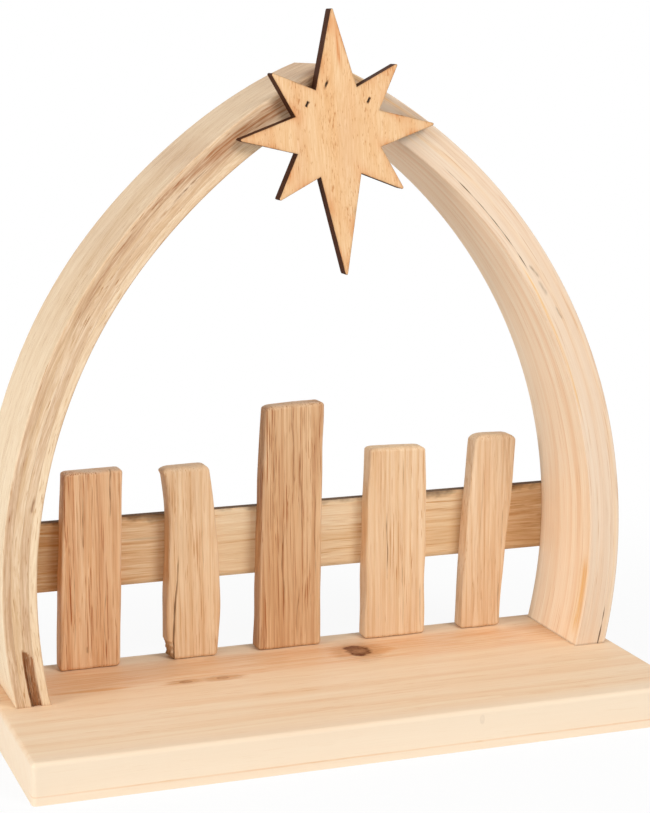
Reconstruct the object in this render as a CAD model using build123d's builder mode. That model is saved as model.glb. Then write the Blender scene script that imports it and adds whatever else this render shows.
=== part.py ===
"""Wooden nativity stable.

An ogive arch of two bent, laminated staves stands on a pine board. A plywood star is nailed over
the mitre at the crown, and five hand-shaped pickets stand against a rail across the back.

Millimetres, +Z up, X to the right along the board, Y to the back. The origin is the middle of the
board's underside.
"""
import os
from collections import namedtuple
from math import cos, hypot, radians, sin, sqrt, tan

from build123d import *

# Pine board that everything stands on
board_length = 296
board_depth = 126
board_thickness = 18
board_edge = 2

# Arch of two staves, each glued up from thin plies bent round a former
arch_height = 273.4       # crown above the board
arch_inset = 1            # from the widest place to the board's end
arch_shift = 2            # the arch stands a little to the right of the board's middle
crown_lean = 3            # the crown leans to the right of the arch's middle
left_bend_height = 47.5   # widest place above the board; no two staves come off a former alike
right_bend_height = 53.5
stave_depth = 53          # front edge to back edge
ply_thickness = 3.8
ply_names = ("outer", "second", "third", "inner")
stave_edge = 0.7
chip_height = 27          # a sliver is torn out of one ply at the left foot
chip_depth = 4

# Plywood rail across the back edges of the staves, flush with the board's back
rail_height = 32.2
rail_thickness = 4.5
rail_lift = 35.6          # lower edge above the board
rail_setback = 5          # ends, in from the widest place of the arch

# Pickets that stand on the board against the rail
picket_height = 92.2
picket_width = 28
picket_thickness = 10
picket_edge = 2.4
picket_brow = 3           # roundness of a head from front to back
head_steps = (0, 45, 78)  # degrees round the head at which its sections lie
fence_margin = 28         # middle of an end picket, in from the foot of its stave
# Each picket is cut by hand. Its height is a share of the height above; its widths at foot, waist and
# head, the roundness of its head from side to side and its step, how far the foot stands aside of an
# even spacing, are shares of the width above. It leans by so many degrees.
Picket = namedtuple("Picket", "name height foot waist head roundness step lean")
pickets = (
    Picket("picket_far_left", 1.00, 0.985, 0.97, 0.955, 0.11, 0.02, 2.0),
    Picket("picket_left", 0.99, 0.815, 0.89, 0.78, 0.18, 0.04, -0.6),
    Picket("picket_middle", 1.27, 1.105, 1.07, 1.015, 0.14, -0.015, 1.4),
    Picket("picket_right", 1.01, 1.07, 1.065, 1.03, 0.14, 0.145, 0.75),
    Picket("picket_far_right", 1.04, 0.715, 0.755, 0.77, 0.23, 0.02, 3.8),
)

# Plywood star, hung by eye and turned a little. Its rays are measured to where their edges would meet,
# beyond the rounded tip.
star_thickness = 6.5
star_drop = 29            # centre, below the crown
star_turn = 3.6
star_tip = 0.6            # roundness of every tip
star_notch = 20.75        # centre to every notch
star_top_ray = 54
star_side_ray = 45.8
star_bottom_ray = 64.4
star_slant_ray = 40.3
star_slant_angle = 46.7   # slanting rays, from the upright
star_steep_notch = 26.8   # notches beside the upright rays, from the upright
star_flat_notch = 22.4    # notches beside the level rays, from the level

# Brads: flat wire with a T head, set below the surface
brad_width = 1.2
brad_thickness = 1.0
brad_head = 2.6
brad_head_depth = 0.8
brad_set = 0.7
brad_point = 0.4
brad_turn = 65            # head's long side, from the level
star_brad_length = 20
rail_brad_length = 20
picket_brad_length = 11.5
rail_brad_margin = 9      # from the rail's upper or lower edge
rail_brad_depth = 9.5     # below the outer face of the stave
# Side of the mitre, distance from it and depth below the outer face of the stave
star_brads_at = (("left", 5.6, 5.6), ("left", 14.3, 9.3), ("right", 13.8, 8.0))

# Countersunk wood screws, up through the board into each foot
screw_length = 30
screw_diameter = 3.5
screw_head = 7
screw_angle = 90
screw_margin = 12         # from the stave's front or back edge

# Places worked out from the sizes above
board_back = board_depth / 2
arch_back = board_back - rail_thickness
arch_front = arch_back - stave_depth
star_front = arch_front - star_thickness
arch_half = board_length / 2 - arch_inset
crown_x = arch_shift + crown_lean
crown_z = board_thickness + arch_height
stave_thickness = ply_thickness * len(ply_names)
rail_z = board_thickness + rail_lift
rail_length = 2 * (arch_half - rail_setback)

Bend = namedtuple("Bend", "side centre_x centre_z radius")


def lay_out_bend(side, height):
    """The arc of a stave's outer face: upright at its widest place and ending at the crown."""
    half = arch_half - side * crown_lean
    offset = ((arch_height - height) ** 2 - half**2) / (2 * half)
    return Bend(side, crown_x - side * offset, board_thickness + height, half + offset)


bends = {"left": lay_out_bend(-1, left_bend_height), "right": lay_out_bend(1, right_bend_height)}


def stave_x(bend, depth, z):
    """X of a stave at a height, a depth below its outer face."""
    return bend.centre_x + bend.side * sqrt((bend.radius - depth) ** 2 - (z - bend.centre_z) ** 2)


left_foot, right_foot = (stave_x(bend, stave_thickness, board_thickness) for bend in bends.values())
picket_pitch = (right_foot - left_foot - 2 * fence_margin) / (len(pickets) - 1)

os.makedirs("parts", exist_ok=True)


def drive_brads(name, face_y, into, places, length):
    """Brads set below the face at face_y, at (x, z) places, into the wood: 1 forwards, -1 backwards.

    Returns what the wood loses to them: the brads and the shallow slots that the nailer leaves.
    """
    head_plane = Plane.XZ.offset(into * brad_set - face_y)
    with BuildPart() as brads:
        with BuildSketch(head_plane):
            with Locations(*places):
                Rectangle(brad_head, brad_thickness, rotation=brad_turn)
        extrude(amount=into * brad_head_depth)
        with BuildSketch(head_plane):
            with Locations(*places):
                Rectangle(brad_width, brad_thickness, rotation=brad_turn)
        extrude(amount=into * length)
        points = brads.faces().group_by(Axis.Y)[-1 if into < 0 else 0]
        chamfer(points.edges(), brad_point)
    brads.part.label = name
    export_step(brads.part, f"parts/{name}.step")
    with BuildPart() as cut:
        add(brads.part)
        with BuildSketch(head_plane):
            with Locations(*places):
                Rectangle(brad_head, brad_thickness, rotation=brad_turn)
        extrude(amount=-into * brad_set)
    return cut.part


def star_brad_place(side_name, aside, depth):
    """(x, z) of a star brad, a distance aside from the mitre and a depth into the stave."""
    bend = bends[side_name]
    x = crown_x + bend.side * aside
    return x, bend.centre_z + sqrt((bend.radius - depth) ** 2 - (x - bend.centre_x) ** 2)


def picket_x(index, z):
    """X of a picket's middle at a height."""
    picket = pickets[index]
    foot_x = (index - (len(pickets) - 1) / 2) * picket_pitch + picket.step * picket_width
    return foot_x + (z - board_thickness) * tan(radians(picket.lean))


# Fasteners come first, because the wood is cut to them
star_brad_places = [star_brad_place(*place) for place in star_brads_at]
star_brad_cut = drive_brads("star_brads", star_front, -1, star_brad_places, star_brad_length)

brad_rows = (rail_z + rail_brad_margin, rail_z + rail_height - rail_brad_margin)
rail_brad_places = [(stave_x(bend, rail_brad_depth, z), z) for bend in bends.values() for z in brad_rows]
rail_brad_cut = drive_brads("rail_brads", board_back, 1, rail_brad_places, rail_brad_length)

picket_brad_places = [(picket_x(i, z), z) for i in range(len(pickets)) for z in brad_rows]
picket_brad_cut = drive_brads("picket_brads", board_back, 1, picket_brad_places, picket_brad_length)

screw_grip_z = (board_thickness + screw_length) / 2
screw_rows = (arch_front + screw_margin, arch_back - screw_margin)
screw_xs = [stave_x(bend, stave_thickness / 2, screw_grip_z) for bend in bends.values()]
screw_places = [(x, y) for x in screw_xs for y in screw_rows]
screw_radius = screw_diameter / 2
screw_head_radius = screw_head / 2
screw_head_depth = (screw_head_radius - screw_radius) / tan(radians(screw_angle / 2))
with BuildPart() as foot_screws:
    for x, y in screw_places:
        with BuildSketch(Plane(origin=(x, y, 0), x_dir=(1, 0, 0), z_dir=(0, -1, 0))):
            with BuildLine():
                Polyline(
                    (0, 0),
                    (screw_head_radius, 0),
                    (screw_radius, screw_head_depth),
                    (screw_radius, screw_length),
                    (0, screw_length),
                    close=True,
                )
            make_face()
        revolve(axis=Axis((x, y, 0), (0, 0, 1)))
foot_screws.part.label = "foot_screws"
export_step(foot_screws.part, "parts/foot_screws.step")

# Board, softened everywhere but round its underside, with screw holes sunk from below
with BuildPart() as base_board:
    Box(board_length, board_depth, board_thickness, align=(Align.CENTER, Align.CENTER, Align.MIN))
    fillet(base_board.edges() - base_board.edges().group_by(Axis.Z)[0], board_edge)
    with Locations(*[Plane(origin=(x, y, 0), z_dir=(0, 0, -1)) for x, y in screw_places]):
        CounterSinkHole(screw_radius, screw_head_radius, counter_sink_angle=screw_angle)
base_board.part.label = "base_board"
export_step(base_board.part, "parts/base_board.step")


def bend_ply(side_name, layer):
    """One ply of a stave: a ring cut off at the board and at the mitre, counted from the outside."""
    bend = bends[side_name]
    outside = bend.radius - layer * ply_thickness
    half = Align.MIN if bend.side > 0 else Align.MAX
    with BuildPart() as ply:
        with BuildSketch(Plane.XZ.offset(-arch_back)):
            with Locations((bend.centre_x, bend.centre_z)):
                Circle(outside)
                Circle(outside - ply_thickness, mode=Mode.SUBTRACT)
            with Locations((crown_x, board_thickness)):
                Rectangle(2 * arch_half, 2 * arch_height, align=(half, Align.MIN), mode=Mode.INTERSECT)
        extrude(amount=stave_depth)
        arcs = ply.edges().filter_by(GeomType.CIRCLE).group_by(SortBy.RADIUS)
        if layer == 0:
            chamfer(arcs[-1], stave_edge)
        if layer == len(ply_names) - 1:
            chamfer(arcs[0], stave_edge)
        if side_name == "left" and ply_names[layer] == "third":
            with BuildSketch(Plane.YZ.offset(stave_x(bend, 0, board_thickness))):
                with BuildLine():
                    Polyline(
                        (arch_front, board_thickness),
                        (arch_front + chip_depth, board_thickness),
                        (arch_front, board_thickness + chip_height),
                        close=True,
                    )
                make_face()
            extrude(amount=2 * stave_thickness, both=True, mode=Mode.SUBTRACT)
        add(star_brad_cut, mode=Mode.SUBTRACT)
        add(rail_brad_cut, mode=Mode.SUBTRACT)
        add(foot_screws.part, mode=Mode.SUBTRACT)
    ply.part.label = f"{side_name}_stave_{ply_names[layer]}_ply"
    export_step(ply.part, f"parts/{ply.part.label}.step")


for side_name in bends:
    for layer in range(len(ply_names)):
        bend_ply(side_name, layer)

# Star: half of its outline, mirrored, on a plane turned by hand
star_plane = Plane(
    origin=(crown_x, arch_front, crown_z - star_drop),
    x_dir=Vector(1, 0, 0).rotate(Axis.Y, -star_turn),
    z_dir=(0, -1, 0),
)
star_half = (
    (star_top_ray, 0),
    (star_notch, star_steep_notch),
    (star_slant_ray, star_slant_angle),
    (star_notch, 90 - star_flat_notch),
    (star_side_ray, 90),
    (star_notch, 90 + star_flat_notch),
    (star_slant_ray, 180 - star_slant_angle),
    (star_notch, 180 - star_steep_notch),
    (star_bottom_ray, 180),
)
with BuildPart() as star:
    with BuildSketch(star_plane) as star_outline:
        with BuildLine():
            Polyline(*[Vector(0, reach).rotate(Axis.Z, -angle) for reach, angle in star_half])
            mirror(about=Plane.YZ)
        make_face()
        corners = star_outline.vertices()
        fillet(corners.filter_by(lambda corner: hypot(corner.X, corner.Y) > star_notch + star_tip), star_tip)
    extrude(amount=star_thickness)
    add(star_brad_cut, mode=Mode.SUBTRACT)
star.part.label = "star"
export_step(star.part, "parts/star.step")

# Rail
with BuildPart() as fence_rail:
    with BuildSketch(Plane.XZ.offset(-board_back)):
        with Locations((arch_shift, rail_z)):
            Rectangle(rail_length, rail_height, align=(Align.CENTER, Align.MIN))
    extrude(amount=rail_thickness)
    add(rail_brad_cut, mode=Mode.SUBTRACT)
    add(picket_brad_cut, mode=Mode.SUBTRACT)
fence_rail.part.label = "fence_rail"
export_step(fence_rail.part, "parts/fence_rail.step")


def shape_picket(index):
    """A slat lofted through rounded sections: foot, waist and the steps round its head."""
    picket = pickets[index]
    height = picket.height * picket_height
    roundness = picket.roundness * picket_width
    sections = [
        (0, picket.foot * picket_width, picket_thickness),
        (height / 2, picket.waist * picket_width, picket_thickness),
    ]
    for step in head_steps:
        drop = 1 - cos(radians(step))
        lift = sin(radians(step)) * roundness / 2
        width = picket.head * picket_width - 2 * roundness * drop
        sections.append((height - roundness / 2 + lift, width, picket_thickness - 2 * picket_brow * drop))
    with BuildPart() as slat:
        for rise, width, thickness in sections:
            z = board_thickness + rise
            with BuildSketch(Plane.XY.offset(z)):
                with Locations((picket_x(index, z), arch_back - picket_thickness / 2)):
                    RectangleRounded(width, thickness, picket_edge * thickness / picket_thickness)
        loft(ruled=True)
        add(picket_brad_cut, mode=Mode.SUBTRACT)
    slat.part.label = picket.name
    export_step(slat.part, f"parts/{picket.name}.step")


for index in range(len(pickets)):
    shape_picket(index)
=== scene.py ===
# %% [markdown]
# # A wooden nativity stable
# A pointed arch of two bent, glued-up staves stands on a pine board. A plywood star is nailed over the
# crown, and five hand-shaped pickets stand against a rail across the back. The solids come from the packed
# model and stay where they are. This lesson dresses them: camera and light first, then one recipe for wood,
# then each piece in turn. Lengths are written in millimetres and become metres when a mesh is made.

# %% Load the frame
from types import SimpleNamespace

import bpy
import numpy as np
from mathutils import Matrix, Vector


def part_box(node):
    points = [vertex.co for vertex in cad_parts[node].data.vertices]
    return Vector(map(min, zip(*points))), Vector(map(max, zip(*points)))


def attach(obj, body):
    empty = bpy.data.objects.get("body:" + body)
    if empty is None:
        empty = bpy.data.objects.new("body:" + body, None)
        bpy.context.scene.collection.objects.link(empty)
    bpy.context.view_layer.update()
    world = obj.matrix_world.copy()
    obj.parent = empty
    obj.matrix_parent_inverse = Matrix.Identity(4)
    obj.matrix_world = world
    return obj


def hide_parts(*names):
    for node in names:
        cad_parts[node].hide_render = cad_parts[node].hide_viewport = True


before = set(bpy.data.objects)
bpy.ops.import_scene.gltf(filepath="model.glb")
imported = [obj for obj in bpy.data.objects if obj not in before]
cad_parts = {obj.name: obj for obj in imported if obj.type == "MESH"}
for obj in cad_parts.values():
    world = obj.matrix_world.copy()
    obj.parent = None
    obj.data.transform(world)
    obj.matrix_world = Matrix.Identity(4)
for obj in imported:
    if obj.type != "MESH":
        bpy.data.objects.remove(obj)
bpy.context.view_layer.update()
mm = 0.001

# %% [markdown]
# ## Camera
# The photo was taken from the left, a little above the crown, with a long lens. Place and turn were worked
# out from the board's corners, whose real size is known, so the picture lines up with the solids.


# %% Camera
def put(name, data):
    """A new object in the scene."""
    thing = bpy.data.objects.new(name, data)
    bpy.context.scene.collection.objects.link(thing)
    return thing


camera = put("camera", bpy.data.cameras.new("camera"))
camera.data.sensor_width = 36
camera.data.lens = 89.72
camera.location = (-0.2984, -0.8243, 0.3051)
camera.rotation_euler = np.radians((79.5, 0, -19.84))
bpy.context.scene.camera = camera
bpy.context.scene.view_settings.view_transform = "Standard"
print("camera at", np.round(camera.location, 3))

# %% [markdown]
# ## A word for nodes
# Every material is a small tree of nodes. One short function adds a node, sets what it is told and links
# what it is given, so a finish can be read from top to bottom. Colours are written as the hex codes of a
# paint program and turned to the linear light that a renderer counts in.


# %% Colours and nodes
def linear(code):
    """Red, green, blue and alpha of a hex colour, in linear light."""
    share = np.array(list(bytes.fromhex(code[1:]))) / 255
    share = np.where(share <= 0.04045, share / 12.92, ((share + 0.055) / 1.055) ** 2.4)
    return (*share, 1)


def add(tree, kind, inputs=(), stops=(), **settings):
    """Adds a node with its settings and returns its outputs. Inputs come in the node's own order, or by label
    or number, and each is linked if it is a socket and set if it is a value. A Map Range takes a value, from,
    to, and what these two become. A ramp gets its stops as (place, grey), the two ends first."""
    node = tree.nodes.new("ShaderNode" + kind)
    for name, value in settings.items():
        setattr(node, name, value)
    for key, value in inputs.items() if isinstance(inputs, dict) else enumerate(inputs):
        if isinstance(value, bpy.types.NodeSocket):
            tree.links.new(value, node.inputs[key])
        else:
            node.inputs[key].default_value = value
    for number, (place, grey) in enumerate(stops):
        marks = node.color_ramp.elements
        mark = marks[number] if number < 2 else marks.new(place)
        mark.position = place
        mark.color = (grey, grey, grey, 1)
    return node.outputs


def empty_material(name):
    """A material with no nodes yet, and its tree."""
    material = bpy.data.materials.new(name)
    material.use_nodes = True
    material.node_tree.nodes.clear()
    return material, material.node_tree


print("pine, for example:", np.round(linear("#e2b98a")[:3], 3))

# %% [markdown]
# ## Light and floor
# The shadows in the photo tell where the lamps were. A broad key in front on the right throws each picket's
# shadow on the rail to its left. A fill from the left lights the left stave's outer face, and a weak soft
# box hangs overhead. The world is white to the camera and dimmer as a lamp, so that a colour comes out about
# as it is written. The floor is white card. Part of its white is its own, so the shadow on it stays faint
# and no horizon shows.


# %% Light and floor
def strongest(tree, values):
    """The greatest of several values, which may be sockets."""
    most = values[0]
    for value in values[1:]:
        most = add(tree, "Math", (most, value), operation="MAXIMUM")[0]
    return most


world = bpy.data.worlds.new("white_studio")
bpy.context.scene.world = world
world.use_nodes = True
sky = world.node_tree
sky.nodes.clear()
path = add(sky, "LightPath")
seen = strongest(sky, [path[f"Is {kind} Ray"] for kind in ("Camera", "Glossy", "Transmission")])
white = (1, 1, 1, 1)
soft = add(sky, "Background", {"Color": white, "Strength": 0.33})[0]
plain = add(sky, "Background", {"Color": white, "Strength": 1.0})[0]
add(sky, "OutputWorld", {"Surface": add(sky, "MixShader", (seen, soft, plain))[0]})
lit_middle = Vector((0, 0, 0.13))


def hang_lamp(name, place, size, watts):
    """A square soft box that looks at the middle of the stable."""
    lamp = put(name, bpy.data.lights.new(name, "AREA"))
    lamp.data.size = size
    lamp.data.energy = watts
    lamp.location = place
    lamp.rotation_euler = (lamp.location - lit_middle).to_track_quat("Z", "Y").to_euler()


hang_lamp("key_right", (0.55, -1.2, 1.05), 0.6, 12.8)
hang_lamp("fill_left", (-1.6, -0.5, 0.6), 0.7, 15.5)
hang_lamp("top_soft", (-0.3, -0.4, 1.6), 1.0, 3.2)

# White card: matt, and brighter than its light so that it meets the white behind it
card, tree = empty_material("white_card")
path = add(tree, "LightPath")
lit = add(tree, "BsdfDiffuse", {"Color": linear("#f4f4f4")})[0]
glow = add(tree, "Emission", {"Color": white, "Strength": 1.0})[0]
away = add(tree, "VectorMath", {0: add(tree, "TexCoord")["Object"]}, operation="LENGTH")["Value"]
own = add(tree, "MapRange", (away, 0.15, 0.5, 0.9, 1.0), interpolation_type="SMOOTHSTEP")[0]
share = add(tree, "Math", (path["Is Camera Ray"], own), operation="MULTIPLY")[0]
add(tree, "OutputMaterial", {"Surface": add(tree, "MixShader", (share, lit, glow))[0]})
far = 9
floor = put("floor", bpy.data.meshes.new("floor"))
floor.data.from_pydata([(-far, -far, 0), (far, -far, 0), (far, far, 0), (-far, far, 0)], [], [(0, 1, 2, 3)])
floor.data.materials.append(card)
print("lamps and floor are in place")

# %% [markdown]
# ## One recipe for wood
# A tree grows a ring a year round its pith, so wood is a solid pattern: the distance from the pith, counted
# in rings, each pale with a dark line of late wood. A board cut from it shows lines, flames or arcs by
# itself, so the recipe works in the log: X runs along the grain, and the pith is a line parallel to it. Long
# thin noise gives the fibres, sparse lines the checks and pores, and slow noise the drift of colour. Real
# fibres are thinner than a pixel, so they are drawn several times too wide. Three more inputs are painted
# on a piece: heart, where it turns brown, stain, where it is cracked, knotted or burnt, and worn, where it
# is rubbed pale.


# %% The wood recipe
# Every wood lists its tints in this order, and changes its growth, in mm, where it isn't the usual one
tint_names = ("pale", "late", "drift", "heart", "thread", "line", "worn", "stain")
usual = dict(sway=160, wander=4, fibre=(36, 0.5), check=(40, 0.5), sparse=0.79, bump=0.3, smooth=1)


def patches(tree, grain, along, across, detail=2, output="Fac"):
    """Uneven growth: noise in patches of so many mm along the grain and across it."""
    scaled = add(tree, "Mapping", {"Vector": grain, "Scale": (1 / along, 1 / across, 1 / across)})[0]
    return add(tree, "TexNoise", {"Vector": scaled, "Scale": 1, "Detail": detail, "Roughness": 0.6})[output]


def grow_rings(tree, grain, look):
    """Late wood is a ramp over the part of a year that has passed: the fraction of (distance from the pith /
    ring width), with good and bad years. Returns the swaying grain that it was measured in, and late wood."""
    sway = patches(tree, grain, look["sway"], 26, detail=1, output="Color")
    bent = add(tree, "VectorMath", (sway, (0, look["wander"], look["wander"]), grain),
               operation="MULTIPLY_ADD")[0]
    spoke = add(tree, "Mapping", {"Vector": bent, "Location": (0, -look["pith"][0], -look["pith"][1]),
                                  "Scale": (0, 1, 1)})[0]
    away = add(tree, "VectorMath", {0: spoke}, operation="LENGTH")["Value"]
    years = add(tree, "Math", (away, 1 / look["ring"]), operation="MULTIPLY")[0]
    uneven = add(tree, "TexNoise", {"W": years, "Scale": 0.45, "Detail": 1}, noise_dimensions="1D")["Fac"]
    age = add(tree, "Math", (uneven, 1.7, years), operation="MULTIPLY_ADD")[0]
    season = add(tree, "Math", {0: age}, operation="FRACT")[0]
    seasons = ((0, 0.15), (1, 0.15), (0.12, 0), (0.5, 0.12), (0.87, 1))
    return bent, add(tree, "ValToRGB", {"Fac": season}, stops=seasons)[0]


def draw_fibres(tree, grain, bent, worn, look):
    """Thread is the dark side of the fibres' noise, and a line stands where longer noise, raised where lines
    crowd, passes the mark called sparse. Both sink to the share called smooth where the wood is worn."""
    fibre = patches(tree, bent, *look["fibre"], detail=3)
    thread = add(tree, "ValToRGB", {"Fac": fibre}, stops=((0.3, 1), (0.7, 0)))[0]
    crowd = patches(tree, grain, 70, 9)
    line = patches(tree, bent, *look["check"])
    line = add(tree, "Math", (crowd, 0.35, line), operation="MULTIPLY_ADD")[0]
    line = add(tree, "ValToRGB", {"Fac": line}, stops=((look["sparse"], 0), (look["sparse"] + 0.1, 1)))[0]
    left = add(tree, "MapRange", (worn, 0, 1, 1, look["smooth"]))[0]
    thread, line = (add(tree, "Math", (mark, left), operation="MULTIPLY")[0] for mark in (thread, line))
    return fibre, thread, line


def grow_wood(tree, grain, heart, stain, worn, look):
    """Colour is pale wood under seven coats, in the order of the list: each is mixed in, or multiplied on, by
    its amount. The bump rises with fibre and late wood and sinks with lines. Bare wood is matt, and hardly
    shines where it is stained or burnt."""
    look = {**usual, **look}
    tints = dict(zip(tint_names, map(linear, look["tints"].split())))
    bent, late = grow_rings(tree, grain, look)
    fibre, thread, line = draw_fibres(tree, grain, bent, worn, look)
    drift = add(tree, "ValToRGB", {"Fac": patches(tree, grain, 150, 9)}, stops=((0.35, 0), (0.68, 1)))[0]
    mottle = add(tree, "MapRange", (patches(tree, bent, 30, 1.2, detail=4), 0.38, 0.62, 0.35, 1))[0]
    streaky = add(tree, "Math", (heart, mottle), operation="MULTIPLY", use_clamp=True)[0]
    colour = tints["pale"]
    coats = ((late, "late", "MIX"), (drift, "drift", "MULTIPLY"), (streaky, "heart", "MULTIPLY"),
             (worn, "worn", "MIX"), (thread, "thread", "MULTIPLY"), (line, "line", "MULTIPLY"),
             (stain, "stain", "MIX"))
    for amount, tint, way in coats:
        colour = add(tree, "Mix", {0: amount, 6: colour, 7: tints[tint]}, data_type="RGBA", blend_type=way)[2]
    height = add(tree, "Math", (late, 0.5, fibre), operation="MULTIPLY_ADD")[0]
    height = add(tree, "Math", (height, line), operation="SUBTRACT")[0]
    bump = add(tree, "Bump", {"Height": height, "Strength": look["bump"], "Distance": 0.25 * mm})[0]
    rough = add(tree, "MapRange", (fibre, 0.3, 0.7, 0.65, 0.52))[0]
    gloss = add(tree, "MapRange", (stain, 0, 0.5, 0.35, 0.04))[0]
    shader = add(tree, "BsdfPrincipled", {"Base Color": colour, "Roughness": rough, "Normal": bump,
                                          "IOR": 1.5, "Specular IOR Level": gloss})[0]
    add(tree, "OutputMaterial", {"Surface": shader})


def cut_wood(name, **look):
    """Wood for a piece that carries its own grain, heart, stain and worn."""
    material, tree = empty_material(name)
    grain = add(tree, "Attribute", attribute_name="grain")["Vector"]
    painted = [add(tree, "Attribute", attribute_name=kind)["Fac"] for kind in ("heart", "stain", "worn")]
    grow_wood(tree, grain, *painted, look)
    return material


print("wood can be grown")

# %% [markdown]
# ## A block of wood as a grid
# Most pieces here began as a squared stick. Its skin is a grid: rows run along the grain, and each row goes
# once round the section. A bevelled cube has the same outline, but a grid can be bent, cracked and worn by
# one formula over whole arrays, and it carries its own grain along.


# %% Block of wood
join = np.concatenate


def rows_along(length, count, foot, head, turns=7, caps=6):
    """Places of the rows along a block, how far each is drawn in at the foot and at the head, and fullness.
    Over a rounded end the place moves by rise * (1 - sin) and the row is drawn in by 1 - cos of a quarter
    turn. The flat that is left closes to its middle: fullness runs from 0 to 1."""
    turn = np.linspace(np.pi / 2, 0, turns)
    closing = np.linspace(0, 1, caps)[:-1]
    body = np.linspace(foot, length - head, count)[1:-1]
    none, still, full = 0 * closing, 0 * turn, 1 + 0 * closing
    place = join([none, foot * (1 - np.sin(turn)), body, length - head * (1 - np.sin(turn[::-1])),
                  none + length])
    at_foot = join([full, 1 - np.cos(turn), 0 * body, still, none])
    at_head = join([none, still, 0 * body, 1 - np.cos(turn[::-1]), full])
    fill = join([closing, 1 + still, 1 + 0 * body, 1 + still, closing[::-1]])
    return place[:, None], at_foot[:, None], at_head[:, None], fill[:, None]


def once_round(near, side, far, corner):
    """Flats S and outward normals N once round a section, each as (across, through): S runs along a flat from
    -1 to 1, and N turns by a quarter circle at a corner, while the other stands still. The counts are points
    on the near flat, a side, the far flat and a corner."""
    turn = np.radians(np.linspace(0, 90, corner + 2)[1:-1])
    sin, cos, one = np.sin(turn), np.cos(turn), np.ones(corner)
    near, side, far = (np.linspace(-1, 1, count) for count in (near, side, far))
    flat_b = join([near, one, 1 + 0 * side, one, far[::-1], -one, 0 * side - 1, -one])
    flat_c = join([0 * near - 1, -one, side, one, 1 + 0 * far, one, side[::-1], -one])
    out_b = join([0 * near, sin, 1 + 0 * side, cos, 0 * far, -sin, 0 * side - 1, -cos])
    out_c = join([0 * near - 1, -cos, 0 * side, sin, 1 + 0 * far, cos, 0 * side, -sin])
    return flat_b, flat_c, out_b, out_c


def block_skin(fill, half_b, half_c, edge, section):
    """A section point is S * (half size - edge) + edge * N, times the row's fullness."""
    flat_b, flat_c, out_b, out_c = section
    edge = np.minimum(edge, 0.95 * np.minimum(half_b, half_c))
    return fill * (flat_b * (half_b - edge) + edge * out_b), fill * (flat_c * (half_c - edge) + edge * out_c)


print("a block of 10 rows has", len(rows_along(100, 10, 1, 1)[0]), "with its rounded ends")

# %% [markdown]
# ## Marks, and a mesh from a grid
# Hands and weather leave two kinds of marks: unevenness all over, and lines along the grain. A sum of sines
# gives the first and a bell beside a line the second. The same arrays that dent a surface also colour it,
# so a crack is dark exactly where it is deep. A painted texture would have to be fitted to the dents.


# %% Marks and meshes
def unit(value):
    """A value held between 0 and 1."""
    return np.clip(value, 0, 1)


def ripple(seed, along, aside, long, short):
    """Unevenness between about -1 and 1: the mean of six sines, about long along and short aside."""
    draw = np.random.default_rng(seed)
    per_mm = draw.uniform(0.6, 1.6, (2, 6)) / [[long], [short]] * draw.choice((-1, 1), (2, 6))
    turn = 2 * np.pi * (along[..., None] * per_mm[0] + aside[..., None] * per_mm[1]) + draw.uniform(0, 7, 6)
    return 1.7 * np.sin(turn).mean(-1)


def streak(along, aside, start, end, width, strength):
    """Strength times nearness to a line from start to end, each (along, aside): a bell across it that fades
    over a fifth of its length at each end."""
    share = (along - start[0]) / (end[0] - start[0])
    line = start[1] + share * (end[1] - start[1])
    ends = unit(np.minimum(share, 1 - share) / 0.2)
    return strength * np.exp(-(((aside - line) / width) ** 2)) * ends


def points_of(grid):
    """The points of a grid in one list. Its first and last rows are one point each."""
    return join([grid[:1, 0], grid[1:-1].reshape(-1, grid.shape[2]), grid[-1:, 0]])


def make_piece(name, node, slot, material, grid, **painted):
    """Quads between the rows of a grid and a fan of triangles at each end, turned so that the volume is
    positive. What is painted on the grid becomes attributes of its points."""
    count = grid.shape[1]
    points = points_of(grid) * mm
    here = 1 + np.arange((len(grid) - 2) * count).reshape(-1, count)
    beside = np.roll(here, -1, axis=1)
    quads = np.stack([here[:-1], beside[:-1], beside[1:], here[1:]], -1).reshape(-1, 4)
    pole = np.full(count, len(points) - 1)
    fans = join([np.stack([0 * pole, beside[0], here[0]], -1), np.stack([pole, here[-1], beside[-1]], -1)])
    corner = points[join([quads[:, :3], quads[:, [0, 2, 3]], fans])]
    volume = np.einsum("ij,ij->", corner[:, 0], np.cross(corner[:, 1], corner[:, 2])) / 6
    turned = -1 if volume < 0 else 1
    mesh = bpy.data.meshes.new(name)
    mesh.from_pydata(points.tolist(), [], quads[:, ::turned].tolist() + fans[:, ::turned].tolist())
    mesh.shade_smooth()
    for label, value in painted.items():
        flat = points_of(value.reshape(*grid.shape[:2], -1))
        kind, key = ("FLOAT_VECTOR", "vector") if flat.shape[1] == 3 else ("FLOAT", "value")
        mesh.attributes.new(label, kind, "POINT").data.foreach_set(key, flat.astype(np.float32).ravel())
    mesh.materials.append(material)
    piece = put(name, mesh)
    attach(piece, "root")
    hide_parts(node)
    print(f"{name}: {len(quads) * 2 + len(fans)} triangles, {abs(volume) / mm**3 / 1000:.1f} cm3")


print("marks and meshes can be made")

# %% [markdown]
# ## Sizes and marks of the staves
# Each side of the arch is a stave of four plies, bent round a former and glued. The left stave has sprung
# back a little flat, and sanding has rounded the crown. Two glue lines have opened on the right, and a
# sliver is torn out of the third ply at the left foot. Marks that stand out are written down as lines along
# the grain; the rest is left to the recipe.

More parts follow.
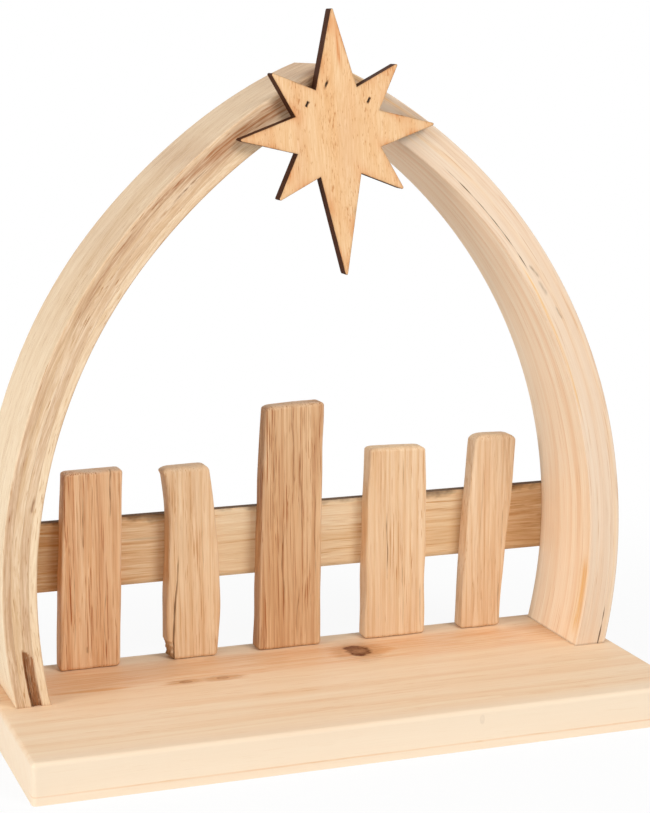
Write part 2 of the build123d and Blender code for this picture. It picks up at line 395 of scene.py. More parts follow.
# %% Sizes and marks of the staves
board_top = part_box("base_board")[1].z / mm
arch_low, arch_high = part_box("left_stave_outer_ply")
crown_x, crown_z = arch_high.x / mm, arch_high.z / mm
stave_front, stave_back = arch_low.y / mm, arch_high.y / mm
widest_x = {"left": arch_low.x / mm, "right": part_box("right_stave_outer_ply")[1].x / mm}
widest_z = {"left": 65.5, "right": 71.5}
ply = 3.8
stave = 4 * ply
arc_length = 326
# How round a ply's long corners are where it is glued and where it is free
glue_edge, open_edge = 0.1, 0.7
# How far a stave has sprung flat, where along it and over what share of its length
flattened, spring_place, spring_width = {"left": 0.9, "right": 0}, 0.74, 0.15
# How much is sanded off the crown, over the last share of the length
crown_worn, crown_share = 0.3, 0.05
# The torn sliver: its size in mm, its sides as shares of the thickness, and how much of its top is slanted
chip_height, chip_depth = 27, 1.8
chip_left, chip_right, chip_slant = 0.43, 0.745, 0.16
# Streaks on the front edges, from (mm from the foot, share of the thickness from the outside) to the same,
# with their width as a share and their strength. The ones that begin near 300 mm, by the crown, are partly
# brown wood and partly painted shade of the star
brown_and_shaded_streaks = {
    "left": (
        ((40, 0.2), (230, 0.22), 0.16, 0.3), ((150, 0.22), (370, 0.34), 0.2, 0.35),
        ((192, 0.2), (268, 0.12), 0.13, 0.4), ((236, 0.22), (330, 0.38), 0.2, 0.6),
        ((250, 0.38), (390, 0.45), 0.22, 0.6), ((300, 0.6), (370, 0.65), 0.3, 0.9),
        ((296, 0.12), (390, 0.15), 0.15, 1.0), ((-60, 0.625), (104, 0.625), 0.12, 0.45),
        ((86, 0.66), (98, 0.72), 0.05, 0.8), ((150, 0.55), (300, 0.62), 0.1, 0.3),
    ),
    "right": (
        ((-40, 0.12), (220, 0.16), 0.05, 0.4), ((112, 0.93), (212, 0.84), 0.045, 1.0),
        ((90, 0.5), (330, 0.4), 0.08, 0.25), ((250, 0.18), (350, 0.22), 0.06, 0.6),
        ((240, 0.5), (350, 0.55), 0.05, 0.5), ((270, 0.75), (350, 0.72), 0.05, 0.5),
        ((296, 0.12), (390, 0.15), 0.15, 1.0),
    ),
}
dark_and_shaded_streaks = {
    "left": (
        ((88, 0.68), (95, 0.73), 0.035, 0.6), ((236, 0.48), (258, 0.46), 0.018, 0.7),
        ((285, 0.3), (350, 0.36), 0.07, 0.3), ((300, 0.55), (350, 0.6), 0.12, 0.4),
        ((306, 0.1), (380, 0.15), 0.14, 0.5),
    ),
    "right": (
        ((179, 0.6), (188, 0.66), 0.035, 0.5), ((188, 0.56), (197, 0.66), 0.03, 0.5),
        ((164, 0.5), (172, 0.55), 0.03, 0.4),
    ),
}
# Brown of the left stave's plies from the outside in, below foot_end and above upper_start
foot_brown, upper_brown = (0.55, 0.1, 0.45, 0), (0.32, 0.32, 0.32, 0.1)
foot_end, upper_start = 110, 190
# The left stave's outer face: where it browns along its length, and the shade of the star on its front half
face_brown_start, face_brown_rise = 240, 80
star_shade_start, star_shade_rise = 308, 10
star_shade_back, star_shade_soft = -10, 8
# A streak of resin on the right stave's inner face, as (mm from the foot, mm behind the middle)
resin = ((3, -21.5), (47, -23), 3.2, 1.0)
# Glue lines that have opened: the ply outside each, from and to in mm from the foot, and the width
open_glue = {"left": (), "right": ((2, 190, 264, 0.17), (0, -14, 20, 0.45))}
glue_fade = 12
print("staves stand on the board at", round(board_top, 1), "mm and meet at", round(crown_z, 1), "mm")

# %% [markdown]
# ## Bent plies
# In CAD the plies are rings cut off at the board and at the mitre. Here each ply is a block of wood whose
# length is wrapped round the bend, so the grain follows the curve as it does when wood is bent. A Curve
# modifier could bend a straight block too, but not with its ends cut flat on the board and at the mitre.


# %% Shape of a bent ply
def bend_of(side):
    """How far the centre of a stave's bend lies across the crown, and its radius: the arc is upright at the
    stave's widest place and ends at the crown."""
    half = abs(widest_x[side] - crown_x)
    offset = ((crown_z - widest_z[side]) ** 2 - half**2) / (2 * half)
    return offset, half + offset


def tear_chip(along, share, front):
    """Depth of the torn sliver: steep sides, a slanted top, deepest at the foot, rough with fibres."""
    rise = unit(1 - along / chip_height)
    right = chip_left + (chip_right - chip_left) * unit(rise / chip_slant)
    inside = unit(np.minimum((share - chip_left) / 0.02, (right - share) / 0.03))
    fibres = 0.7 + 0.4 * ripple(3, along, 90 * share, 14, 3) + 0.2 * ripple(4, along, 130 * share, 5, 2)
    deep = chip_depth * (0.4 + 0.6 * rise) * unit(rise / 0.1)
    return front * inside * deep * np.clip(fibres, 0.1, 1)


def open_gap(side, layer, place, section):
    """Width of opened glue lines beside a ply: fading at both ends, wavering, and only in front."""
    gap = 0 * place * section[0]
    for upper, start, end, width in open_glue[side]:
        toward = {upper: -1, upper + 1: 1}.get(layer, 0) * section[1]
        fade = unit(np.minimum(place - start, end - place) / glue_fade)
        width = width * np.clip(0.65 + 0.6 * ripple(upper, place, 0 * place, 16, 9), 0.1, 1)
        gap = gap + width * fade * unit(toward) * unit(-section[0])
    return gap


def wrap_round(side, layer, along, b, c):
    """Points of a ply on the bend. The radius is the ply's middle plus the depth through it. The angle runs
    from the board to the mitre, and both depend on the radius, so the ends come out flat."""
    mirror = -1 if side == "left" else 1
    offset, outer_radius = bend_of(side)
    share_up = along / arc_length
    sprung = flattened[side] * np.exp(-(((share_up - spring_place) / spring_width) ** 2))
    near_crown = unit((share_up - 1) / crown_share + 1)
    rounded = crown_worn * near_crown**2 * unit(c / ply + 0.5) * (layer == 0)
    radius = outer_radius - (layer + 0.5) * ply + c - sprung - rounded
    low = np.arcsin((board_top - widest_z[side]) / radius)
    high = np.arccos(offset / radius)
    angle = low + share_up * (high - low)
    return np.stack([crown_x + mirror * (radius * np.cos(angle) - offset), (stave_front + stave_back) / 2 + b,
                     widest_z[side] + radius * np.sin(angle)], -1)


print("radius of the bends:", {side: round(bend_of(side)[1], 1) for side in widest_z})

# %% [markdown]
# ## Colour of the staves
# Brown heart runs through the left stave, most in its outer and third plies near the foot, and its outer
# face is pale below. The right one is nearly white, with a streak of resin. Each has its own function that
# paints a ply's grid, so no mark needs a texture of its own.


# %% Bent staves
def mark_left(at):
    """Heart, stain and worn of the left stave alone. Heart: sliver, plies, painted shade on the free front
    corners, upper outer face, painted shade of the star. Stain: broken fibres, a line of painted shade under
    the foot, glue lines, painted shade of the star. Worn: the outer face and the inner ply's edge, most of
    all below."""
    lower = unit((upper_start - at.along) / (upper_start - foot_end))
    shade = at.outer * unit((at.along - star_shade_start) / star_shade_rise)
    shade = shade * unit((star_shade_back - at.b) / star_shade_soft)
    heart = np.maximum.reduce([
        1.35 * unit(3 * at.torn),
        at.front * (upper_brown[at.layer] * (1 - lower) + foot_brown[at.layer] * lower),
        # Painted shade: the free front corners are browned to dim the highlight on their rounding
        1.2 * at.corner * (at.bare > 0) * at.front,
        0.25 * at.outer * unit((at.along - face_brown_start) / face_brown_rise),
        shade,
    ])
    fibres = np.clip(0.4 * ripple(6, at.along, 150 * at.share, 9, 3) - 0.08, 0, 0.4)
    stain = np.maximum.reduce([
        fibres * (at.torn > 0.1),
        # A line of painted shade at the very foot, where the stave meets the board
        0.15 * unit(1 - at.along) * at.fill,
        0.3 * at.front * (at.corner > 0.01) * (at.bare < 0.5),
        0.4 * shade,
    ])
    worn = np.maximum((0.2 + 0.5 * lower) * at.outer, (0.1 + 0.35 * lower**2) * at.front * (at.layer == 3))
    return heart, stain, worn


def mark_right(at):
    """Heart, stain and worn of the right stave alone: resin on the inner face, a line of painted shade under
    the foot and a rubbed front edge."""
    heart = at.inner * streak(at.along, at.b, *resin)
    # A line of painted shade at the very foot, where the stave meets the board
    stain = 0.4 * unit(1 - at.along) * at.fill
    worn = 0.65 * unit(1.6 * at.front)
    return heart, stain, worn


def bend_ply(side, layer, layer_name, material):
    """A ply as a block: b runs back from its middle, c through it, and share is that depth as a share of the
    stave from the outside. Its front edge waves, and cracks and the sliver are pressed in before it is
    painted and wrapped round the bend."""
    shown, glued = 34, 5
    section = once_round(shown if layer == 3 else glued, 15, shown if layer == 0 else glued, corner=3)
    place, at_foot, at_head, fill = rows_along(arc_length, 330, glue_edge, glue_edge, turns=3, caps=4)
    inset = glue_edge * (at_foot + at_head)
    bare = {0: 1, 3: -1}.get(layer, 0) * section[1]
    edge = glue_edge + (open_edge - glue_edge) * unit(bare)
    gap = open_gap(side, layer, place, section)
    b, c = block_skin(fill, (stave_back - stave_front) / 2 - inset, ply / 2 - inset, edge + gap, section)
    along = place + 0 * b
    share = (layer + 0.5 - c / ply) * ply / stave
    front = unit(-section[2]) * fill
    corner = abs(section[2] * section[3])
    seed = 10 * layer + (0 if side == "left" else 5)
    b = b + front * (0.06 + 0.05 * ripple(seed, along, share * 20, 70, 9))
    # Dark and brown streaks along the grain; by the crown they also paint the star's shade
    dark = sum(streak(along, share, *line) for line in dark_and_shaded_streaks[side])
    dark = unit(dark * (0.75 + 0.5 * ripple(seed + 1, along, share * 40, 6, 5))) * front
    torn = tear_chip(along, share, front) * (side == "left")
    b = b + 0.5 * dark + torn
    dark = np.maximum(dark, np.clip(5 * gap, 0, 0.8) * (corner > 0.01))
    brown = sum(streak(along, share, *line) for line in brown_and_shaded_streaks[side])
    brown = unit(brown * (1 + 0.4 * ripple(seed + 2, along, share * 30, 60, 5)))
    outer = unit(section[3]) * (layer == 0)
    inner = unit(-section[3]) * (layer == 3) * fill
    at = SimpleNamespace(layer=layer, along=along, share=share, b=b, fill=fill, front=front, outer=outer,
                         inner=inner, corner=corner, bare=bare, torn=torn)
    heart, stain, worn = mark_left(at) if side == "left" else mark_right(at)
    heart = np.maximum(heart, brown)
    grain = np.stack([along + 500 * layer, b + 400 * (side == "right"), c - layer * ply], -1)
    make_piece(f"bent_ply_{side}_{layer_name}", f"{side}_stave_{layer_name}_ply", "stave_wood",
               material, wrap_round(side, layer, along, b, c), grain=grain, heart=heart,
               stain=np.maximum(stain, dark), worn=worn * (1 - 0.8 * heart))


# Sanded bare softwood, left in its own colour: pale with soft lines, and brown heart in the left stave
left_stave_wood = cut_wood(
    "sanded_sapwood_with_heart", tints="#f6e2c6 #efd8b8 #efe4d6 #b58a68 #eadccb #d2b596 #fdebcd #6a3a20",
    ring=4.5, pith=(60, 90), sway=70, wander=7, fibre=(9, 0.45), check=(10, 0.5), sparse=0.8, bump=0.25,
    smooth=0.7)
right_stave_wood = cut_wood(
    "sanded_pale_sapwood", tints="#fbead1 #f5dcbd #fbf3ec #f2d08f #f8f0e8 #efe0d2 #e2cab3 #5a412c",
    ring=4.2, pith=(430, 70), sway=200, fibre=(70, 0.8), check=(30, 0.5), sparse=0.77, bump=0.2)
for layer, layer_name in enumerate(("outer", "second", "third", "inner")):
    bend_ply("left", layer, layer_name, left_stave_wood)
    bend_ply("right", layer, layer_name, right_stave_wood)

# %% [markdown]
# ## Wood and sizes of the pickets
# The pickets were split and sanded by hand, so no two edges are straight and no two colours the same. A few
# places on each outline and the drying cracks that can be seen are measured; the rest follows from one
# shape.

# %% Sizes and wood of the pickets
picket_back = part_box("picket_middle")[1].y / mm
picket_depth = 10
picket_corner = 1.5
foot_rise, foot_draw, head_draw = 1.8, 1.6, 2.6
# The lip at the left picket's head: how far it stands out, how far below the top, and its half height
lip, lip_drop, lip_half = 0.9, 1.7, 1.4
# Its broken corner: how high it reaches, where it starts, and how far it is gone from the side and the front
broken_height, broken_x, broken_side, broken_front = 9, -57.4, 2.6, 1.5
# For each picket: its outline as (height, left, right), the rise and roundness of its head, the slope of its
# top, and its cracks from (height, X) to (height, X) with width and depth
pickets = {
    "far_left": dict(
        wood="reddish", head=(1.6, 2.2), slope=0.015,
        outline=((2, -111.5, -83.1), (30, -110.6, -82.1), (52, -109.6, -81.5), (75, -108.6, -80.9),
                 (88, -107.8, -80.4)),
        cracks=(((97, -86), (70, -86.8), 0.3, 0.8), ((82, -99.2), (55, -99.9), 0.25, 0.6),
                ((50, -103.6), (8, -104.6), 0.25, 0.4), ((40, -89.6), (2, -90.6), 0.25, 0.4),
                ((11, -99), (7.5, -98.9), 0.5, 0.7)),
    ),
    "left": dict(
        wood="tan", head=(3, 3.4), slope=0.02,
        outline=((2, -60.7, -36.4), (14, -61.1, -35.4), (29, -60.8, -34.6), (45, -59.9, -35.2),
                 (58, -59.6, -36.1), (72, -59.5, -37.3), (90, -61.5, -39.4)),
        cracks=(((50, -54.8), (26, -56.8), 0.3, 0.9), ((34, -56.3), (-8, -59.4), 0.35, 1.8),
                ((70, -43.6), (40, -43.1), 0.2, 0.3)),
    ),
    "middle": dict(
        wood="brown", head=(2, 3.6), slope=0.05,
        outline=((2, -16.8, 14.8), (22, -16.2, 14.9), (43, -15.5, 15.1), (66, -14.9, 15.3), (95, -13.5, 16.2),
                 (112, -12.5, 16.4)),
        cracks=(((62, -4.6), (18, -4), 0.3, 0.6), ((96, 4.4), (52, 5.4), 0.25, 0.5),
                ((118, 0.4), (70, 1.4), 0.25, 0.45), ((110, -7.6), (60, -9.1), 0.25, 0.45),
                ((82, 11.4), (30, 12), 0.25, 0.5), ((30, 3.4), (4, 2.4), 0.25, 0.45)),
    ),
    "right": dict(
        wood="pale", head=(2, 3.8), slope=-0.035,
        outline=((2, 37.1, 68), (20, 37.3, 68.2), (41, 37.7, 68.4), (58, 38.1, 68.6), (77, 38.8, 68.5),
                 (90, 39.4, 68.2)),
        cracks=(((62, 48), (28, 48.5), 0.3, 0.8), ((88, 56.1), (72, 56.4), 0.25, 0.4),
                ((26, 65.3), (2, 65.8), 0.25, 0.5), ((40, 55.9), (2, 56.9), 0.2, 0.4)),
    ),
    "far_right": dict(
        wood="straw", head=(3.4, 6), slope=-0.03,
        outline=((2, 87.1, 107.9), (19, 87.8, 109), (39, 88.9, 110.6), (57, 90.1, 112.6), (76, 91.7, 114.3),
                 (90, 93, 115.2)),
        cracks=(((28, 106.5), (-4, 106.9), 0.25, 0.6), ((60, 108.8), (38, 108.1), 0.2, 0.4),
                ((80, 98.3), (40, 96.3), 0.2, 0.3)),
    ),
}
# Split slats, sanded and left bare. Drying has drawn dark lines along the fibres, most in the brown ones
slats = {
    "brown": dict(
        tints="#f0d0a8 #e0b88e #eee0d3 #d2b49a #ebdccd #c99f7a #e6caab #6b4226", ring=3.2, pith=(-140, 24),
        check=(44, 0.55), sparse=0.75, bump=0.4),
    "reddish": dict(
        tints="#ffe0ba #f5cca2 #eddccb #d2ae8f #efe1d2 #c8976e #ecd4ba #6b3f22", ring=3.4, pith=(-190, 20),
        check=(44, 0.55), sparse=0.76, bump=0.4),
    "tan": dict(
        tints="#fce2c0 #f3d4ad #f4e9de #e6d2bd #f0e4d7 #d8b894 #e8ccac #6b4628", ring=3.4, pith=(-90, 30),
        fibre=(30, 0.5), check=(28, 0.5)),
    "pale": dict(
        tints="#f5ddbe #eccea8 #f6ebdf #e4cfb8 #f3e7da #d4ad82 #f0d6b2 #75502e", ring=3.6, pith=(20, 36)),
    "straw": dict(
        tints="#f3ddc0 #e9cca9 #f4e9de #e4d0bc #f0e4d7 #d0a984 #eed5b4 #75502e", ring=3.0, pith=(60, 40)),
}
slat_wood = {wood: cut_wood(f"split_slat_{wood}", **look) for wood, look in slats.items()}
# How much painted shade browns the sides of each wood
painted_side_shade = {"brown": 0.6, "reddish": 0.6, "tan": 0.4, "pale": 0.2, "straw": 0.2}
print(len(pickets), "pickets,", sum(len(picket["cracks"]) for picket in pickets.values()), "cracks")

# %% [markdown]
# ## Pickets
# Each picket is a block whose sides are smooth curves through the measured places, with a rounded head, worn
# corners and faces that wave by a fraction of a millimetre. Drying cracks are grooves along the grain, and
# one picket has a broken corner. Sculpting would do, too, but a formula keeps each one inside its solid.


# %% Pickets
def break_corner(along, x, c, fill):
    """How far the split picket's lower left corner is broken away: rough, and gone at broken_height."""
    corner = unit(1 - along / broken_height) ** 0.5 * unit((broken_x - x) / 2) * fill
    return corner * np.clip(0.8 + 0.35 * ripple(9, along, x + 2 * c, 5, 4), 0, 1.2)


def shape_picket(place_name, number, wood, head, slope, outline, cracks):
    """The outline's left and right curves are cubics fitted through the measured places; the section between
    them is a rounded rectangle, and cracks push the front face in along their lines."""
    rise, roundness = head
    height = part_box(f"picket_{place_name}")[1].z / mm - board_top
    place, at_foot, at_head, fill = rows_along(height, 200, foot_rise, rise)
    high, left, right = np.array(outline).T
    left, right = (np.polynomial.Polynomial.fit(high, side, 3)(place) for side in (left, right))
    section = once_round(130, 16, 36, corner=6)
    half_b = (right - left) / 2 - roundness * at_head - foot_draw * at_foot
    half_c = picket_depth / 2 - head_draw * at_head - foot_draw * at_foot
    b, c = block_skin(fill, half_b, half_c, picket_corner, section)
    along = place + 0 * b
    x = (left + right) / 2 + b
    face = unit(-section[3]) * fill
    wave = 0.28 * ripple(number, along, x, 55, 16) + 0.08 * ripple(number + 20, along, x, 30, 3)
    nicked = 0.2 * (1 + ripple(number + 40, along, c, 40, 30))
    x = x - section[2] * nicked * fill
    c = c + face * (0.3 + wave)
    swing = x + 0.35 * ripple(number + 60, along, x, 34, 60)
    groove = sum(streak(along, swing, *line) for line in cracks)
    groove = groove * np.clip(0.85 + 0.3 * ripple(number + 70, along, x, 14, 9), 0, 1.2)
    c = c + 0.5 * face * groove
    # The dark line at the foot is painted shade where the picket meets the board
    dark = np.maximum(np.clip(0.9 * groove, 0, 0.65) * face, 0.7 * unit(3 * at_foot - 1))
    if place_name == "left":
        out = np.exp(-(((along - height + lip_drop) / lip_half) ** 2))
        x = x - lip * out * unit(-section[2]) * fill
        broken = break_corner(along, x, c, fill)
        x = x + broken_side * broken
        c = c + broken_front * broken * face
        dark = np.maximum(dark, 0.6 * broken)
    z = board_top + along + slope * (x - (left + right) / 2) * unit(along / height) ** 6
    z = np.minimum(z, board_top + height)
    grid = np.stack([x, picket_back - picket_depth / 2 + c, z], -1)
    grain = np.stack([along + 300 * number, x + 70 * number, c], -1)
    # Painted shade on the sides: browned, and on brown wood darkened too
    shaded = unit(2 * abs(section[2]) - 1) * painted_side_shade[wood]
    brown = unit(0.25 * (1 + ripple(number + 80, along, x, 120, 9)) + shaded)
    dark = np.maximum(dark, 0.2 * shaded * (wood == "brown"))
    rubbed = np.maximum(1.6 * abs(section[2] * section[3]), np.clip(4 * at_head, 0, 1.5))
    rubbed = unit(rubbed * (0.5 + 0.35 * ripple(number + 90, along, x + c, 25, 12)))
    make_piece(f"picket_slat_{place_name}", f"picket_{place_name}", "picket_wood", slat_wood[wood], grid,
               grain=grain, heart=brown, stain=dark, worn=rubbed)


for number, (place_name, picket) in enumerate(pickets.items()):
    shape_picket(place_name, number, **picket)

# %% [markdown]
# ## Outline of the star
# The star is cut from thin plywood by a laser. Its outline is eight rays of four lengths with rounded tips,
# the same as in CAD. Points lie close together at the tips and in the notches, where the outline turns.

# %% Outline of the star
star_low, star_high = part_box("star")
star_front, star_depth = star_low.y / mm, (star_high.y - star_low.y) / mm
star_drop, star_turn, tip = 29, np.radians(3.6), 0.6
# Reach and bearing of the corners of half the star, from the top ray round to the bottom one
half_star = ((54, 0), (20.75, 26.8), (40.3, 46.7), (20.75, 67.6), (45.8, 90), (20.75, 112.4), (40.3, 133.3),
             (20.75, 153.2), (64.4, 180))
reach, bearing = np.array(half_star + tuple((r, -a) for r, a in half_star[-2:0:-1])).T
corners = reach[:, None] * np.stack([np.cos(np.radians(bearing)), np.sin(np.radians(bearing))], -1)


def round_tips(line):
    """Moves what lies beyond a tip circle's tangent points onto the circle, straight to or from its centre,
    which is tip / sin(half the ray's angle) short of the sharp end."""
    sharp, notch = corners[::2], corners[1::2]
    out = sharp / np.linalg.norm(sharp, axis=1)[:, None]
    edge = notch - sharp
    half = np.arccos(-(edge * out).sum(1) / np.linalg.norm(edge, axis=1))
    centre = sharp - out * (tip / np.sin(half))[:, None]
    rel = line[:, None] - centre
    away = np.linalg.norm(rel, axis=-1)
    beyond = ((rel * out).sum(-1) > tip * np.sin(half)) & (away < 3 * tip / np.sin(half))
    on_circle = centre + tip * rel / away[..., None]
    nearest = np.take_along_axis(on_circle, beyond.argmax(1)[:, None, None], 1)[:, 0]
    return np.where(beyond.any(1)[:, None], nearest, line)


steps, crowding = 26, 1.6
part = np.linspace(0, 1, steps, endpoint=False) ** crowding
part = join([part, 1 - np.append(part, 1)[:0:-1]])
turn = (np.arange(0, len(corners), 2)[:, None] + join([part[:steps], 1 + part[steps:]])).ravel()
ring = np.arange(len(corners) + 1)
outline = np.stack([np.interp(turn, ring, np.append(corners[:, k], corners[0, k])) for k in (0, 1)], -1)
outline = round_tips(outline)
print("the star's outline has", len(outline), "points")

# %% [markdown]
# ## Star
# The outline is drawn in to its middle, ring by ring, on the front and on the back. So there are points
# where a brad leaves a slot, and where the burn of the laser, nearly black on the edge, fades over the rim.
# A filled and extruded curve would have the outline, but no points inside its faces.

# %% Star
rim = 0.2
wall = np.linspace(rim, star_depth - rim, 9)
# Rings are shares of the outline's size, and closest together where the brads go in
slots_from, slots_to, face_edge = 0.4, 0.8, 0.994
drawn = join([np.linspace(0, slots_from, 12)[:-1], np.linspace(slots_from, slots_to, 56)[:-1],
              np.linspace(slots_to, face_edge, 16)])
back_drawn = np.linspace(face_edge, 0, 14)
size = join([drawn, 1 + 0 * wall, back_drawn])[:, None]
deep = join([0 * drawn, wall, 0 * back_drawn + star_depth])[:, None] + 0 * turn
a, b = size * outline[:, 0], size * outline[:, 1]
x = crown_x - a * np.sin(star_turn) + b * np.cos(star_turn)
z = crown_z - star_drop + a * np.cos(star_turn) + b * np.sin(star_turn)
run = np.roll(corners, -1, axis=0) - corners
rel = np.stack([a, b], -1)[:, :, None] - corners
nearest = unit((rel * run).sum(-1) / (run**2).sum(-1))
to_edge = np.linalg.norm(rel - nearest[..., None] * run, axis=-1).min(-1)

# The heads of the brads are the front points of their solids, in three groups from left to right
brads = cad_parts["star_brads"].data.vertices
heads = np.zeros(3 * len(brads), np.float32)
brads.foreach_get("co", heads)
heads = heads.reshape(-1, 3) / mm
heads = heads[heads[:, 1] < heads[:, 1].min() + 0.01]
heads = [group.mean(0) for group in np.array_split(heads[np.argsort(heads[:, 0])], 3)]
slot_turn, slot_half_long, slot_half_wide, slot_soft, slot_depth = np.radians(65), 1.4, 0.65, 0.3, 1.0
pressed = np.zeros_like(x)
for head_x, _, head_z in heads:
    lengthwise = (x - head_x) * np.cos(slot_turn) + (z - head_z) * np.sin(slot_turn)
    sidewise = (z - head_z) * np.cos(slot_turn) - (x - head_x) * np.sin(slot_turn)
    inside = np.minimum(slot_half_long - abs(lengthwise), slot_half_wide - abs(sidewise)) / slot_soft
    pressed = np.maximum(pressed, unit(inside))
front_face = deep < 0.01
pressed = pressed * front_face
deep = deep + slot_depth * pressed

speck_x, speck_z, speck_size = 12.4, 228.2, 0.55
speck = np.exp(-((np.hypot(x - speck_x, z - speck_z)) / speck_size) ** 2) * front_face
burnt = np.where((deep > 0.01) & (deep < star_depth - 0.01) & (size > 0.999), 1.0, 0)
scorch = 0.45 * np.exp(-to_edge / 0.3) * (1 + 0.5 * ripple(7, a, b, 11, 9))
# The dark slots are painted shade in each brad's recess
stain = unit(np.maximum.reduce([burnt, scorch, 0.9 * pressed, 0.8 * speck]))
toasted = unit(0.9 * np.exp(-to_edge / 2.2) * (0.4 + ripple(17, a, b, 24, 20)))
ray_streak = ((26, 2.5), (52, 0.2), 0.9, 1)
toasted = np.maximum(toasted, streak(a, b, *ray_streak))
# Thin plywood, laser cut: fine flecks of pores along the grain, warm scorch near the rim, char on the edge
star_ply = cut_wood(
    "laser_cut_plywood", tints="#efcda3 #eac49a #fbf0e2 #eab98a #efdec8 #d8b48a #f4cd9c #46291a",
    ring=9, pith=(15, 40), sway=90, wander=10, fibre=(10, 0.45), check=(3.5, 0.45), bump=0.2)
make_piece("cut_star", "star", "star_plywood", star_ply, np.stack([x, star_front + deep, z], -1),
           grain=np.stack([a, b, deep], -1), heart=toasted, stain=stain, worn=0 * stain)

# %% [markdown]
# ## Board
# The board's solid is right already, screw holes included, so it keeps its mesh and only gets wood. A solid
# has no grain of its own, so the recipe reads its Object coordinates, which a Mapping node turns to
# millimetres. The pith lies below the board's back half, which gives even lines in front and broad flames
# near the pickets. The sides carry a painted highlight: they are painted paler than the planed top and show
# fewer fibres.


# %% Board
def solid_wood(name, paint, **look):
    """Wood for a solid: the log's axes are the object's own, and paint gives heart, stain and worn."""
    material, tree = empty_material(name)
    spot = add(tree, "TexCoord")
    grain = add(tree, "Mapping", {"Vector": spot["Object"], "Scale": (1000, 1000, 1000)})[0]
    facing = add(tree, "SeparateXYZ", {0: spot["Normal"]})
    grow_wood(tree, grain, *paint(tree, grain, facing), look)
    return material


def oval_at(tree, grain, place, half):
    """Distance from a place in the wood, in half sizes of an oval. An axis of half size 0 is left out."""
    per_mm = [1 / size if size else 0 for size in half]
    moved = [-middle * share for middle, share in zip(place, per_mm)]
    oval = add(tree, "Mapping", {"Vector": grain, "Location": moved, "Scale": per_mm})[0]
    return add(tree, "VectorMath", {0: oval}, operation="LENGTH")["Value"]


# Browner places: middle, half sizes, how far out the brown is full and gone, and its strength. They are the
# back half, a flame by the left foot, halos of the knots, and a line along the front face
left_knot, right_knot, big_knot = (-61.6, 16.4, 18), (-44.1, 16.2, 18), (27.4, 33.4, 18)
brown_places = (
    ((0, 32, 18), (0, 22, 0), 0.5, 0.95, 0.75),
    ((-103, 18, 18), (28, 2.4, 9), 0.3, 1, 1.7),
    (left_knot, (17, 4.5, 9), 0.2, 1, 2),
    (right_knot, (17, 4.5, 9), 0.2, 1, 2),
    ((29, 33, 18), (24, 15, 9), 0.3, 1, 2),
    ((0, -63, 3.7), (0, 9, 0.55), 0.3, 1, 0.7),
)
# Knots, each with a faint smudge round it, and a scar in the front face: middle, half sizes and strength
knots = (
    (big_knot, (6.8, 9.2, 30), 1.0),
    (big_knot, (13, 16, 30), 0.16),
    (left_knot, (3.6, 2.4, 9), 0.55),
    (left_knot, (9, 3.6, 9), 0.2),
    (right_knot, (3.4, 2.2, 9), 0.45),
    (right_knot, (11, 4, 9), 0.2),
    ((48.4, -63, 13.6), (1.2, 4, 2.2), 0.12),
)
# How dark a knot is from its middle outwards, the two ends first, in half sizes divided by two
knot_rings = ((0.08, 0.7), (0.58, 0), (0.22, 0.85), (0.37, 1), (0.46, 0.4))
# Where the rubbed front edge of the top begins and ends, in mm, and how far noise draws a brown place out
rubbed_from, rubbed_to = -62, -49
drawn_by = 0.5


def paint_board(tree, grain, facing):
    """Heart is the brown places, drawn out along the grain; stain is the knots, blotched and darkest in a
    ragged rim; worn is the rounded front edge of the top and a painted highlight on the sides, less where
    they are brown."""
    drawn_out = patches(tree, grain, 40, 4, detail=3)
    ragged = add(tree, "MapRange", (patches(tree, grain, 6, 5, detail=4), 0.3, 0.7, -0.2, 0.2))[0]
    blotch = add(tree, "MapRange", (patches(tree, grain, 3, 4, detail=3), 0.35, 0.65, 0.65, 1))[0]
    browns, darks = [], []
    for place, half, full, gone, strength in brown_places:
        away = oval_at(tree, grain, place, half)
        away = add(tree, "Math", (drawn_out, drawn_by, away), operation="MULTIPLY_ADD")[0]
        browns += add(tree, "MapRange", (away, full + drawn_by / 2, gone + drawn_by / 2, strength, 0))[:1]
    for place, half, strength in knots:
        away = add(tree, "Math", (ragged, oval_at(tree, grain, place, half)), operation="ADD")[0]
        near = add(tree, "Math", (away, 0.5), operation="MULTIPLY")[0]
        stops = [(step, grey * strength) for step, grey in knot_rings]
        darks += add(tree, "ValToRGB", {"Fac": near}, stops=stops)[:1]
    heart = strongest(tree, browns)
    stain = add(tree, "Math", (strongest(tree, darks), blotch), operation="MULTIPLY")[0]
    # Painted highlight: upright faces are mixed towards the paler worn tint
    side = add(tree, "MapRange", (facing["Z"], 0.2, 0.95, 0.75, 0))[0]
    front = add(tree, "SeparateXYZ", {0: grain})["Y"]
    front = add(tree, "MapRange", (front, rubbed_from, rubbed_to, 0.55, 0),
                interpolation_type="SMOOTHSTEP")[0]
    kept = add(tree, "MapRange", (heart, 0, 1, 1, 0.2))[0]
    worn = add(tree, "Math", (strongest(tree, [side, front]), kept), operation="MULTIPLY")[0]
    return heart, stain, worn


# Planed pine, left bare: warm and matt, with soft lines on top that fade on the sides, which carry a painted
# highlight
board_pine = solid_wood(
    "planed_pine", paint_board, tints="#f6dfc1 #f1d5b3 #fbf3ec #eecdad #faf4ee #f2e3d0 #f1dfc7 #58230f",
    ring=6.5, pith=(25, -62), sway=120, wander=6, fibre=(50, 0.6), check=(18, 0.5), bump=0.2, smooth=-0.1)
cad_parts["base_board"].material_slots[0].material = board_pine
print("board:", len(brown_places), "brown places and", len(knots), "knots, smudges and scars")

